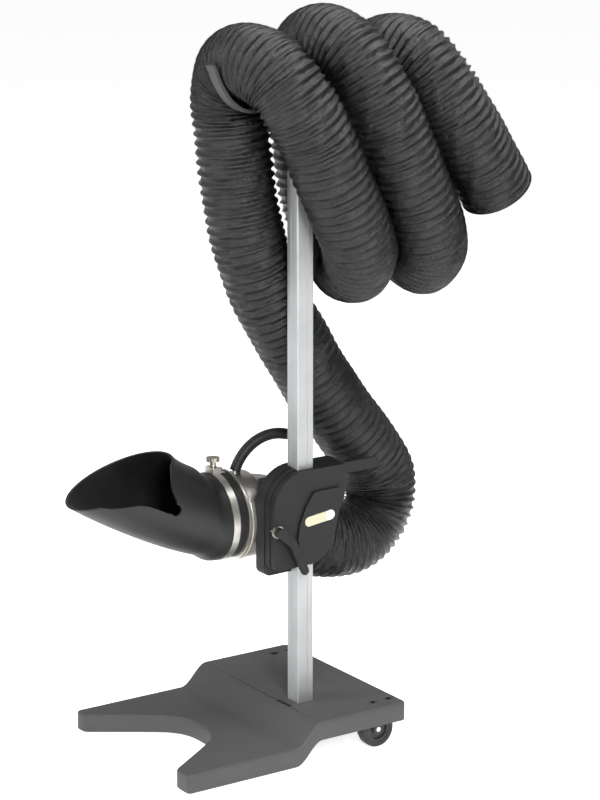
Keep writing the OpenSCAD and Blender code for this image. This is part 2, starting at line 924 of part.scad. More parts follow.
// Knurled head on a stem
module thumb_screw() {
    z = duct_z + cuff_r + 4;
    color([0.55, 0.52, 0.46])
        translate([duct_x, knob_y, 0]) {
            translate([0, 0, z])
                cylinder(h = 12, r = 3);
            translate([0, 0, z + 7])
                cylinder(h = 7, r = 5);
            translate([0, 0, z + 14])
                cylinder(h = 2, r1 = 5, r2 = 10.5);
            difference() {
                translate([0, 0, z + 16])
                    cylinder(h = 6, r = 11);
                for (a = [0:30:330])
                    rotate(a)
                        translate([11.6, 0, z + 15])
                            cylinder(h = 8, r = 1.4);
            }
        }
}

// ---------- hose ----------

// Frames along a curve: each ring's side vector is the last one turned square to the new direction
function ring_sides(dirs, side, i = 0) =
    i >= len(dirs) ? []
    : let (s = unit(side - (side * dirs[i]) * dirs[i])) concat([s], ring_sides(dirs, s, i + 1));

module hose() {
    sides = 12;
    rings = 80;
    last = len(hose_route) - 1;
    line = [for (i = [0:rings - 1]) on_curve(hose_route, last * i / (rings - 1))];
    dirs = [for (i = [0:rings - 1]) unit(line[min(i + 1, rings - 1)] - line[max(i - 1, 0)])];
    side = ring_sides(dirs, [1, 0, 0]);
    loops = concat([for (i = [0:rings - 1]) [i, hose_r]],
        [for (i = [rings - 1:-1:0]) [i, hose_r - hose_t]]);
    pts = [for (k = loops) for (j = [0:sides - 1])
        let (i = k[0], a = 360 * j / sides)
        line[i] + k[1] * (cos(a) * side[i] + sin(a) * cross(dirs[i], side[i]))];
    n = len(loops);
    faces = [for (i = [0:n - 1]) for (j = [0:sides - 1])
        let (a = i * sides + j, b = i * sides + (j + 1) % sides)
        let (c = ((i + 1) % n) * sides + (j + 1) % sides, d = ((i + 1) % n) * sides + j)
        for (f = [[a, b, c], [a, c, d]]) [f[2], f[1], f[0]]];
    color([0.07, 0.07, 0.07])
        polyhedron(pts, faces);
}

base_shell();
ballast_plate();
deck_bolts();
front_feet();
axle_brackets();
axle_bolts();
tyre(-1);  // left_tyre
hub(-1);  // left_hub
tyre(1);  // right_tyre
hub(1);  // right_hub
post();
post_socket();
post_latch();
socket_bolts();
post_cap();
hose_hanger();
hanger_screws();
carriage_near_half();
carriage_far_half();
carriage_bolts();
cover_panel();
badge();
glide_liners();
clamp_pad();
support_arm();
arm_bolts();
duct_bracket();
duct_flange();
duct_can();
duct_elbow();
handle_rod();
handle_grip();
hose_cuff();
hose_clamp();
lever_hub();
lever_handle();
nozzle();
band_clamp();
band_bracket();
band_bolt();
thumb_screw();
hose();
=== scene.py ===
import json
import math

import bmesh
import bpy
import numpy as np
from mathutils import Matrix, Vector


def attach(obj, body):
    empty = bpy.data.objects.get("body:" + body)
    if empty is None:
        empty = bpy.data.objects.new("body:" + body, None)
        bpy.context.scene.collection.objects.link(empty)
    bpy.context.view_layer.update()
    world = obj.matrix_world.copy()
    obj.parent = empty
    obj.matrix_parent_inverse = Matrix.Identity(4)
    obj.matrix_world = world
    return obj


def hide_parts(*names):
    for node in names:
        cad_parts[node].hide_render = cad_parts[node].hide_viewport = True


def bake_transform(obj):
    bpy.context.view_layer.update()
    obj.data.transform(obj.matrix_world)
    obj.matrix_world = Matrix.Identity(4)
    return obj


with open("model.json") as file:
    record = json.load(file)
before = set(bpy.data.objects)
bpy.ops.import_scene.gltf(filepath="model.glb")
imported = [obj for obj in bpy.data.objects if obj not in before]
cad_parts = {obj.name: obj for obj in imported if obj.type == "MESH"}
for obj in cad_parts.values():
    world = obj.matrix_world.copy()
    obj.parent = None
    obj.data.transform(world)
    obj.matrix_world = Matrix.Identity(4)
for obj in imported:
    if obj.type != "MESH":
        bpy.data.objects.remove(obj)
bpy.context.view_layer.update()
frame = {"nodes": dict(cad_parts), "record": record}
nodes = frame["nodes"]
MM = 0.001


# ---------- camera, floor and light ----------

VIEW_AZIMUTH = math.radians(55.94)
VIEW_ELEVATION = math.radians(14.01)
VIEW_TARGET = Vector((0.0658, 0.0637, 0.5633))
VIEW_DISTANCE = 4.3277
LENS_MM = 124.2
FLOOR_HALF_WIDTH = 12.0


def add_camera():
    """A long lens, turned to the near right of the stand, level with the lower part of the post."""
    back = Vector((
        math.sin(VIEW_AZIMUTH) * math.cos(VIEW_ELEVATION),
        -math.cos(VIEW_AZIMUTH) * math.cos(VIEW_ELEVATION),
        math.sin(VIEW_ELEVATION),
    ))
    data = bpy.data.cameras.new("camera")
    data.lens = LENS_MM
    data.sensor_width = 36.0
    data.clip_start = 0.05
    data.clip_end = 100.0
    camera = bpy.data.objects.new("camera", data)
    bpy.context.scene.collection.objects.link(camera)
    camera.location = VIEW_TARGET + back * VIEW_DISTANCE
    camera.rotation_mode = "QUATERNION"
    camera.rotation_quaternion = (-back).to_track_quat("-Z", "Y")
    bpy.context.scene.camera = camera


def add_area_light(name, place, aim, size, power, colour=(1.0, 1.0, 1.0)):
    data = bpy.data.lights.new(name, "AREA")
    data.shape = "RECTANGLE"
    data.size, data.size_y = size
    data.energy = power
    data.color = colour
    light = bpy.data.objects.new(name, data)
    bpy.context.scene.collection.objects.link(light)
    light.location = place
    light.rotation_mode = "QUATERNION"
    light.rotation_quaternion = (Vector(aim) - Vector(place)).to_track_quat("-Z", "Y")


def add_world(backdrop, room):
    """A white backdrop behind the stand that fades to a dimmer room on the near right side."""
    world = bpy.data.worlds.new("studio")
    world.use_nodes = True
    tree = world.node_tree
    background = tree.nodes["Background"]
    background.inputs["Color"].default_value = (1.0, 1.0, 1.0, 1.0)
    coords = tree.nodes.new("ShaderNodeTexCoord")
    facing = tree.nodes.new("ShaderNodeVectorMath")
    facing.operation = "DOT_PRODUCT"
    facing.inputs[1].default_value = (math.sin(VIEW_AZIMUTH), -math.cos(VIEW_AZIMUTH), 0.0)
    fade = tree.nodes.new("ShaderNodeMapRange")
    fade.inputs["From Min"].default_value = -0.75
    fade.inputs["From Max"].default_value = 0.1
    fade.inputs["To Min"].default_value = backdrop
    fade.inputs["To Max"].default_value = room
    tree.links.new(coords.outputs["Generated"], facing.inputs[0])
    tree.links.new(facing.outputs["Value"], fade.inputs["Value"])
    tree.links.new(fade.outputs["Result"], background.inputs["Strength"])
    bpy.context.scene.world = world


def add_floor():
    far = FLOOR_HALF_WIDTH
    mesh = bpy.data.meshes.new("floor")
    corners = [(-far, -far, 0), (far, -far, 0), (far, far, 0), (-far, far, 0)]
    mesh.from_pydata(corners, [], [(0, 1, 2, 3)])
    floor = bpy.data.objects.new("floor", mesh)
    bpy.context.scene.collection.objects.link(floor)
    mat = bpy.data.materials.new("floor_paint")
    mat.use_nodes = True
    shader = mat.node_tree.nodes["Principled BSDF"]
    shader.inputs["Base Color"].default_value = (0.78, 0.78, 0.78, 1.0)
    shader.inputs["Roughness"].default_value = 0.9
    shader.inputs["Specular IOR Level"].default_value = 0.1
    shader.inputs["Emission Color"].default_value = (1.0, 1.0, 1.0, 1.0)
    shader.inputs["Emission Strength"].default_value = 0.80
    mesh.materials.append(mat)


add_camera()
add_floor()
add_world(0.42, 0.10)
add_area_light("key", (2.65, -1.0, 1.9), (0, 0.1, 0.7), (0.8, 1.2), 98)
add_area_light("left_strip", (-1.0, -3.0, 2.5), (0, 0, 0.3), (1.0, 1.6), 74)
add_area_light("top", (0.5, 1.0, 3.2), (0.1, 0.2, 0.2), (2.0, 2.0), 95)
bpy.context.scene.view_settings.view_transform = "Standard"


# ---------- mesh helpers ----------

def make_object(name, verts, faces, smooth=True):
    mesh = bpy.data.meshes.new(name)
    mesh.from_pydata([tuple(map(float, v)) for v in verts], [], faces)
    mesh.validate()
    if smooth:
        mesh.shade_smooth()
    obj = bpy.data.objects.new(name, mesh)
    bpy.context.scene.collection.objects.link(obj)
    return obj


def fix_normals(obj):
    bm = bmesh.new()
    bm.from_mesh(obj.data)
    bmesh.ops.recalc_face_normals(bm, faces=bm.faces)
    bm.to_mesh(obj.data)
    bm.free()


def bake_modifiers(obj):
    """Replaces the mesh by what its modifiers make of it."""
    graph = bpy.context.evaluated_depsgraph_get()
    mesh = bpy.data.meshes.new_from_object(obj.evaluated_get(graph))
    obj.modifiers.clear()
    obj.data = mesh


def unit(v):
    v = np.asarray(v, float)
    return v / np.linalg.norm(v, axis=-1, keepdims=True)


def round_edges(obj, width, segments=3, angle=35):
    """Rounds the sharp edges of a CAD piece without touching its mesh."""
    bevel = obj.modifiers.new("rounded_edges", "BEVEL")
    bevel.width = width
    bevel.segments = segments
    bevel.limit_method = "ANGLE"
    bevel.angle_limit = math.radians(angle)
    bevel.use_clamp_overlap = True
    bevel.harden_normals = False


def smooth_by_angle(obj, angle=35):
    obj.data.shade_smooth()
    limit = math.radians(angle)
    bm = bmesh.new()
    bm.from_mesh(obj.data)
    for edge in bm.edges:
        edge.smooth = len(edge.link_faces) == 2 and edge.calc_face_angle(0.0) < limit
    bm.to_mesh(obj.data)
    bm.free()


# ---------- materials ----------

class Finish:
    """A material being built up: a Principled shader and the textures that feed it."""

    def __init__(self, name, colour, roughness, metallic=0.0):
        self.mat = bpy.data.materials.new(name)
        self.mat.use_nodes = True
        self.tree = self.mat.node_tree
        self.shader = self.tree.nodes["Principled BSDF"]
        self.colour = colour
        self.shader.inputs["Base Color"].default_value = (*colour, 1.0)
        self.shader.inputs["Roughness"].default_value = roughness
        self.shader.inputs["Metallic"].default_value = metallic
        self.coords = self.tree.nodes.new("ShaderNodeTexCoord")
        self.height = None

    def set(self, **values):
        for name, value in values.items():
            self.shader.inputs[name.replace("_", " ")].default_value = value
        return self

    def scaled(self, scale):
        mapping = self.tree.nodes.new("ShaderNodeMapping")
        mapping.inputs["Scale"].default_value = scale
        self.tree.links.new(self.coords.outputs["Object"], mapping.inputs["Vector"])
        return mapping.outputs["Vector"]

    def noise(self, scale, detail=3.0, rough=0.55, stretch=(1, 1, 1)):
        node = self.tree.nodes.new("ShaderNodeTexNoise")
        node.inputs["Scale"].default_value = scale
        node.inputs["Detail"].default_value = detail
        node.inputs["Roughness"].default_value = rough
        self.tree.links.new(self.scaled(stretch), node.inputs["Vector"])
        return node.outputs["Fac"]

    def cells(self, scale):
        node = self.tree.nodes.new("ShaderNodeTexVoronoi")
        node.inputs["Scale"].default_value = scale
        self.tree.links.new(self.scaled((1, 1, 1)), node.inputs["Vector"])
        return node.outputs["Distance"]

    def wave(self, scale, direction):
        node = self.tree.nodes.new("ShaderNodeTexWave")
        node.wave_type = "BANDS"
        node.bands_direction = direction
        node.inputs["Scale"].default_value = scale
        self.tree.links.new(self.coords.outputs["UV"], node.inputs["Vector"])
        return node.outputs["Fac"]

    def math(self, operation, a, b):
        node = self.tree.nodes.new("ShaderNodeMath")
        node.operation = operation
        for socket, value in zip(node.inputs, (a, b)):
            if isinstance(value, (int, float)):
                socket.default_value = value
            else:
                self.tree.links.new(value, socket)
        return node.outputs["Value"]

    def ramp(self, value, low, high, colours):
        node = self.tree.nodes.new("ShaderNodeValToRGB")
        node.color_ramp.elements[0].position = low
        node.color_ramp.elements[1].position = high
        node.color_ramp.elements[0].color = (*colours[0], 1.0)
        node.color_ramp.elements[1].color = (*colours[1], 1.0)
        self.tree.links.new(value, node.inputs["Fac"])
        return node.outputs["Color"]

    def vary_colour(self, value, amount, low=0.3, high=0.7):
        """Darker and lighter by amount where the texture value is low and high."""
        dark = tuple(c * (1 - amount) for c in self.colour)
        light = tuple(min(1.0, c * (1 + amount)) for c in self.colour)
        shade = self.ramp(value, low, high, (dark, light))
        self.tree.links.new(shade, self.shader.inputs["Base Color"])
        return self

    def vary_roughness(self, value, low, high):
        node = self.tree.nodes.new("ShaderNodeMapRange")
        node.inputs["To Min"].default_value = low
        node.inputs["To Max"].default_value = high
        self.tree.links.new(value, node.inputs["Value"])
        self.tree.links.new(node.outputs["Result"], self.shader.inputs["Roughness"])
        return self

    def bump(self, value, distance, strength=1.0):
        node = self.tree.nodes.new("ShaderNodeBump")
        node.inputs["Distance"].default_value = distance
        node.inputs["Strength"].default_value = strength
        self.tree.links.new(value, node.inputs["Height"])
        if self.height is not None:
            self.tree.links.new(self.height, node.inputs["Normal"])
        self.height = node.outputs["Normal"]
        self.tree.links.new(self.height, self.shader.inputs["Normal"])
        return self


def moulded_plastic(name, colour, roughness, grain=1400, depth=0.00008):
    f = Finish(name, colour, roughness)
    f.set(Specular_IOR_Level=0.36)
    f.vary_colour(f.noise(9, 4), 0.07)
    f.vary_roughness(f.noise(30, 4), roughness - 0.06, roughness + 0.08)
    f.bump(f.cells(grain), depth, 0.5)
    f.bump(f.noise(grain * 1.7, 2), depth * 0.6, 0.5)
    return f.mat


def rubber(name, colour, roughness, sheen=0.0):
    f = Finish(name, colour, roughness)
    f.set(Specular_IOR_Level=0.4, Sheen_Weight=sheen, Sheen_Roughness=0.4)
    f.vary_colour(f.noise(14, 5), 0.15)
    f.vary_roughness(f.noise(25, 5), roughness - 0.07, roughness + 0.09)
    f.bump(f.noise(900, 3), 0.00006, 0.6)
    f.bump(f.noise(60, 4), 0.0006, 0.12)
    return f.mat


def brushed_metal(name, colour, roughness, along, fine=900):
    """Metal with fine brush lines that run along one axis."""
    f = Finish(name, colour, roughness, 1.0)
    stretch = {"x": (0.02, 1, 1), "y": (1, 0.02, 1), "z": (1, 1, 0.02)}[along]
    lines = f.noise(fine, 3, 0.6, stretch)
    f.vary_colour(f.noise(12, 4), 0.08)
    f.vary_roughness(lines, roughness - 0.08, roughness + 0.12)
    f.bump(lines, 0.00003, 0.35)
    return f.mat


def plated_steel(name, colour, roughness):
    f = Finish(name, colour, roughness, 1.0)
    f.vary_colour(f.noise(60, 5), 0.12)
    f.vary_roughness(f.noise(180, 5), roughness - 0.08, roughness + 0.14)
    f.bump(f.noise(1500, 2), 0.00003, 0.4)
    return f.mat


def powder_coat(name, colour, roughness):
    f = Finish(name, colour, roughness)
    f.set(Specular_IOR_Level=0.5)
    f.vary_colour(f.noise(20, 4), 0.08)
    f.vary_roughness(f.noise(200, 3), roughness - 0.08, roughness + 0.08)
    f.bump(f.noise(700, 3, 0.6), 0.00012, 0.5)
    return f.mat


def hose_cloth(name):
    """Coated woven cloth: fine crossing threads, soft glints and a dusty bloom."""
    f = Finish(name, (0.0022, 0.0022, 0.0026), 0.36)
    f.set(Specular_IOR_Level=0.5)
    warp = f.wave(330, "X")
    weft = f.wave(330, "Y")
    weave = f.math("MULTIPLY", warp, weft)
    speckle = f.noise(420, 4, 0.7)
    f.vary_colour(f.noise(55, 5, 0.65), 0.45, 0.35, 0.65)
    f.vary_roughness(speckle, 0.16, 0.44)
    f.bump(weave, 0.0003, 0.8)
    f.bump(speckle, 0.0006, 0.7)
    f.bump(f.noise(150, 4), 0.0026, 0.75)
    return f.mat


def badge_print(name):
    """Cream window with a white end, and no lettering."""
    f = Finish(name, (0.50, 0.48, 0.33), 0.35)
    split = f.tree.nodes.new("ShaderNodeSeparateXYZ")
    f.tree.links.new(f.coords.outputs["Object"], split.inputs["Vector"])
    f.tree.links.new(f.ramp(f.math("MULTIPLY", split.outputs["Y"], 10.0), 0.93, 0.96,
                            ((0.50, 0.48, 0.33), (0.74, 0.74, 0.76))), f.shader.inputs["Base Color"])
    f.vary_roughness(f.noise(60, 4), 0.22, 0.42)
    f.bump(f.noise(900, 2), 0.00002, 0.4)
    return f.mat


finishes = {
    "base_plastic": moulded_plastic("base_plastic", (0.060, 0.060, 0.062), 0.55, 900, 0.00012),
    "black_plastic": moulded_plastic("black_plastic", (0.008, 0.008, 0.009), 0.58),
    "hub_plastic": moulded_plastic("hub_plastic", (0.03, 0.03, 0.03), 0.5),
    "liner_plastic": moulded_plastic("liner_plastic", (0.7, 0.7, 0.67), 0.4),
    "dark_bolt": plated_steel("dark_bolt", (0.045, 0.045, 0.048), 0.4),
    "ballast_steel": powder_coat("ballast_steel", (0.06, 0.06, 0.062), 0.6),
    "zinc_steel": plated_steel("zinc_steel", (0.62, 0.62, 0.61), 0.32),
    "warm_steel": plated_steel("warm_steel", (0.46, 0.43, 0.37), 0.34),
    "stainless": brushed_metal("stainless", (0.62, 0.6, 0.56), 0.36, "x"),
    "aluminium": brushed_metal("aluminium", (0.50, 0.51, 0.515), 0.62, "z"),
    "hanger_paint": powder_coat("hanger_paint", (0.035, 0.035, 0.036), 0.6),
    "soft_rubber": rubber("soft_rubber", (0.008, 0.008, 0.0088), 0.46, 0.03),
    "foot_rubber": rubber("foot_rubber", (0.02, 0.02, 0.02), 0.7),
    "tyre": rubber("tyre", (0.018, 0.018, 0.018), 0.6),
    "brake_pad": rubber("brake_pad", (0.08, 0.035, 0.02), 0.7),
    "badge": badge_print("badge"),
    "hose_fabric": hose_cloth("hose_fabric"),
}
record_slots = {p["node"]: p.get("material_slot", p["node"]) for p in frame["record"]["subparts"]}


def paint(obj, slot_name):
    obj.data.materials.clear()
    obj.data.materials.append(finishes[slot_name])


for node_name, node_object in nodes.items():
    paint(node_object, record_slots[node_name])

EDGE_WIDTHS = {
    "carriage_near_half": 2.5, "carriage_far_half": 1.6, "cover_panel": 1.2, "badge": 0.4,
    "support_arm": 1.2, "duct_bracket": 1.0, "hose_hanger": 0.9, "post": 0.3, "post_cap": 0.8,
    "duct_flange": 0.7, "band_clamp": 0.3, "band_bracket": 0.8, "thumb_screw": 0.5,
    "lever_hub": 0.6, "left_hub": 0.5, "right_hub": 0.5, "hose_clamp": 0.3, "hose_cuff": 0.8,
    "carriage_bolts": 0.3, "deck_bolts": 0.3, "arm_bolts": 0.4, "hanger_screws": 0.4,
    "front_feet": 0.6, "axle_brackets": 0.4, "axle_bolts": 0.6, "band_bolt": 0.4,
    "socket_bolts": 0.4, "post_socket": 0.6, "post_latch": 0.6, "ballast_plate": 0.8,
}
for node_name, width in EDGE_WIDTHS.items():
    smooth_by_angle(nodes[node_name])
    round_edges(nodes[node_name], width * MM)


# ---------- hose ----------

HOSE_RADIUS = 0.060
RIB_DEPTH = 0.0052
RIB_PITCH = 0.0160
HOSE_SIDES = 64
RINGS_PER_RIB = 6
HOSE_ROUTE = [
    [-24, 85, 339], [-23, 116, 315], [-20, 164, 294], [-18, 212, 290], [-18, 256, 310],
    [-18, 280, 356], [-18, 270, 408], [-18, 220, 476], [-17, 158, 557], [-15, 108, 634],
    [-14, 58, 715], [-12, 22, 800], [-12, 3, 880], [-12, -9, 967], [-8, -18, 1035],
    [18, -25, 1084], [66, -26, 1099], [114, -13, 1084], [140, 12, 1037], [145, 42, 985],
    [144, 72, 922], [138, 108, 858], [118, 140, 804], [66, 160, 767], [14, 157, 803],
    [-10, 148, 864], [-14, 134, 950], [-8, 122, 1040], [18, 112, 1102], [66, 111, 1120],
    [114, 126, 1100], [140, 150, 1045], [145, 178, 990], [144, 208, 928], [138, 244, 860],
    [118, 276, 803], [66, 297, 766], [14, 294, 800], [-10, 285, 864], [-14, 268, 950],
    [-8, 252, 1030], [18, 245, 1082], [66, 246, 1098], [108, 262, 1082], [134, 290, 1030],
    [138, 330, 970], [134, 368, 918], [128, 398, 875],
]


def on_curve(p, t):
    """A point of a smooth curve through the points p, at t from 0 to len(p) - 1."""
    i = min(int(t), len(p) - 2)
    f = t - i
    b, c = p[i], p[i + 1]
    a = p[i - 1] if i > 0 else 2 * b - c
    d = p[i + 2] if i < len(p) - 2 else 2 * c - b
    return 0.5 * (2 * b + (c - a) * f + (2 * a - 5 * b + 4 * c - d) * f ** 2
                  + (3 * b - a - 3 * c + d) * f ** 3)


def even_line(points, step):
    """Points a step apart along the smooth curve through points, and their distances."""
    p = np.array(points, float) * MM
    dense = np.array([on_curve(p, t) for t in np.linspace(0, len(p) - 1, 60 * len(p))])
    run = np.r_[0, np.cumsum(np.linalg.norm(np.diff(dense, axis=0), axis=1))]
    count = int(run[-1] / step) + 1
    s = np.linspace(0, run[-1], count)
    line = np.stack([np.interp(s, run, dense[:, k]) for k in range(3)], 1)
    for _ in range(30):
        line[1:-1] = 0.25 * line[:-2] + 0.5 * line[1:-1] + 0.25 * line[2:]
    return line, s


def frames_along(line, first_side):
    """Directions of a line, and two directions across it that don't twist."""
    along = unit(np.gradient(line, axis=0))
    side = np.zeros_like(line)
    v = np.array(first_side, float)
    for i, d in enumerate(along):
        v = v - v.dot(d) * d
        v /= np.linalg.norm(v)
        side[i] = v
    return along, side, np.cross(along, side)


def build_hose():
    line, s = even_line(HOSE_ROUTE, 0.0015)
    along, side, up = frames_along(line, (1, 0, 0))
    step = s[1] - s[0]
    bend = np.gradient(along, step, axis=0)
    for _ in range(20):
        bend[1:-1] = 0.25 * bend[:-2] + 0.5 * bend[1:-1] + 0.25 * bend[2:]
    curvature = np.linalg.norm(bend, axis=1)
    # The cloth is pulled tight on the outside of a bend, so the wire turns close up along the middle
    pitch = RIB_PITCH / (1 + HOSE_RADIUS * curvature)
    ribs = np.r_[0, np.cumsum(step / pitch[:-1])]
    total = int(ribs[-1])
    ribs *= total / ribs[-1]
    phases = np.arange(total * RINGS_PER_RIB + 1) / RINGS_PER_RIB

    def sample(table):
        return np.stack([np.interp(phases, ribs, table[:, k]) for k in range(3)], 1)

    centre, u, v, k = sample(line), unit(sample(side)), unit(sample(up)), sample(bend)
    angle = np.linspace(0, 2 * np.pi, HOSE_SIDES, endpoint=False)
    cos, sin = np.cos(angle), np.sin(angle)
    radial = u[:, None, :] * cos[None, :, None] + v[:, None, :] * sin[None, :, None]
    # 1 where a ring's point is on the inside of the bend, -1 on the outside
    inner = np.clip(np.einsum("ijk,ik->ij", radial, k) * HOSE_RADIUS, -1, 1)
    valley = np.abs(np.sin(np.pi * phases))[:, None] ** 0.85
    rib = np.round(phases)[:, None]
    wobble = 0.22 * np.sin(3 * angle[None] + 2.1 * rib) + 0.16 * np.sin(5 * angle[None] - 1.3 * rib + 0.7)
    fold = 0.12 * np.sin(11 * angle[None] + 4.7 * rib) + 0.08 * np.sin(17 * angle[None] - 2.9 * rib)
    bunching = 1 + 0.6 * np.clip(inner, 0, 1) - 0.1 * np.clip(-inner, 0, 1)
    depth = RIB_DEPTH * bunching * (1 + wobble + fold)
    ridge = 0.0006 * np.sin(2 * angle[None] + 0.9 * rib) * (1 - valley)
    outer_r = HOSE_RADIUS - 0.0004 - depth * valley + ridge
    inner_r = outer_r - 0.0016
    skin = centre[:, None, :] + radial * outer_r[:, :, None]
    picks = list(range(0, len(phases), 2))
    if picks[-1] != len(phases) - 1:
        picks.append(len(phases) - 1)
    lining = (centre[:, None, :] + radial * inner_r[:, :, None])[picks][::-1]
    rings = np.concatenate([skin, lining])
    n, m = rings.shape[:2]
    index = np.arange(n * m).reshape(n, m)
    faces = []
    for i in range(n):
        a, b = index[i], index[(i + 1) % n]
        faces += list(zip(a, np.roll(a, -1), np.roll(b, -1), b))
    hose = make_object("hose_tube", rings.reshape(-1, 3), [tuple(int(x) for x in f) for f in faces])
    # UV in metres: along the hose and round it
    length = np.interp(phases, ribs, s)
    run = np.concatenate([length, length[picks][::-1]])
    uv = hose.data.uv_layers.new(name="hose_uv")
    loops = np.zeros((len(hose.data.loops), 2), np.float32)
    width = 2 * np.pi * HOSE_RADIUS / m
    k = 0
    for i in range(n):
        i2 = (i + 1) % n
        for j in range(m):
            loops[k:k + 4] = [(run[i], j * width), (run[i], (j + 1) * width),
                              (run[i2], (j + 1) * width), (run[i2], j * width)]
            k += 4
    uv.data.foreach_set("uv", loops.ravel())
    fix_normals(hose)
    hose.data.materials.append(finishes["hose_fabric"])
    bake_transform(hose)
    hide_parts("hose")
    # The hose starts inside the cuff, so its exit is halfway from the middle of the cuff to its wall
    return hose


build_hose()


# ---------- base ----------

BASE_HALF_W, BASE_TIP_Y, BASE_REAR_Y = 174, -215, 200
DECK_Z, PRONG_Z, SKIRT_H, SHELL_T = 67, 32, 30, 4
CURVE_Y = (-16, 34)
TIP_CORNER_R, REAR_CORNER_R, RIM_R = 7, 13, 4.2
POST_X, POST_Y, POST_HOLE_HALF = 66, 64, 15.4
LATCH_HALF_W, LATCH_Y = 19, (30, 36)
DECK_BOLT_X, DECK_BOLT_Y = 143, (153, 184)
BOLT_SLOT_LEN, BOLT_SLOT_W, BOLT_SLOT_DEPTH = 18, 9, 1.6


def rounded(points, times=2):
    """Cuts the corners of a closed outline, so that it turns smoothly."""
    p = np.array(points, float)
    for _ in range(times):
        q = np.roll(p, -1, axis=0)
        p = np.stack([0.75 * p + 0.25 * q, 0.25 * p + 0.75 * q], 1).reshape(-1, p.shape[1])
    return p


def arc(centre, radius, start, end, n=8):
    a = np.radians(np.linspace(start, end, n + 1))
    return [(centre[0] + radius * math.cos(t), centre[1] + radius * math.sin(t)) for t in a]


def base_outline():
    w, y, shift = BASE_HALF_W, BASE_TIP_Y, -6
    notch = [(20, -81), (42, -87), (60, -99), (74, -115), (134, -203), (140, -212), (147, -215)]
    right = [(a + shift, b) for a, b in notch]
    left = [(shift - a, b) for a, b in reversed(notch)]
    tip, rear, rear_y = TIP_CORNER_R, REAR_CORNER_R, BASE_REAR_Y - REAR_CORNER_R
    near_side = arc((w - tip, y + tip), tip, -90, 0, 4) + arc((w - rear, rear_y), rear, 0, 90, 5)
    far_side = arc((rear - w, rear_y), rear, 90, 180, 5) + arc((tip - w, y + tip), tip, 180, 270, 4)
    return rounded(right + near_side + far_side + left)


def deck_top(y):
    t = min(1.0, max(0.0, (y - CURVE_Y[0]) / (CURVE_Y[1] - CURVE_Y[0])))
    return PRONG_Z + (DECK_Z - PRONG_Z) * (1 - math.cos(math.pi * t)) / 2


def prism(name, outline, low, high, axis="z"):
    """A closed solid with the outline as its ends. axis is z for a plan, x for a side view in Y and Z."""
    n = len(outline)
    if axis == "z":
        verts = [(a, b, low) for a, b in outline] + [(a, b, high) for a, b in outline]
    else:
        verts = [(low, a, b) for a, b in outline] + [(high, a, b) for a, b in outline]
    faces = [tuple(range(n)), tuple(range(n, 2 * n))]
    faces += [(i, (i + 1) % n, n + (i + 1) % n, n + i) for i in range(n)]
    obj = make_object(name, np.array(verts) * MM, faces, smooth=False)
    fix_normals(obj)
    return obj


def cut(obj, cutters):
    """Cuts each cutter out of obj and throws the cutters away."""
    for i, cutter in enumerate(cutters):
        boolean = obj.modifiers.new(f"cut_{i}", "BOOLEAN")
        boolean.object = cutter
        boolean.solver = "EXACT"
    bpy.context.view_layer.update()
    bake_modifiers(obj)
    for cutter in cutters:
        bpy.data.objects.remove(cutter)


def capsule(x, y, length, width):
    r, h = width / 2, (length - width) / 2
    return arc((x, y + h), r, 0, 180, 10) + arc((x, y - h), r, 180, 360, 10)


def square(x, y, half):
    return [(x - half, y - half), (x + half, y - half), (x + half, y + half), (x - half, y + half)]


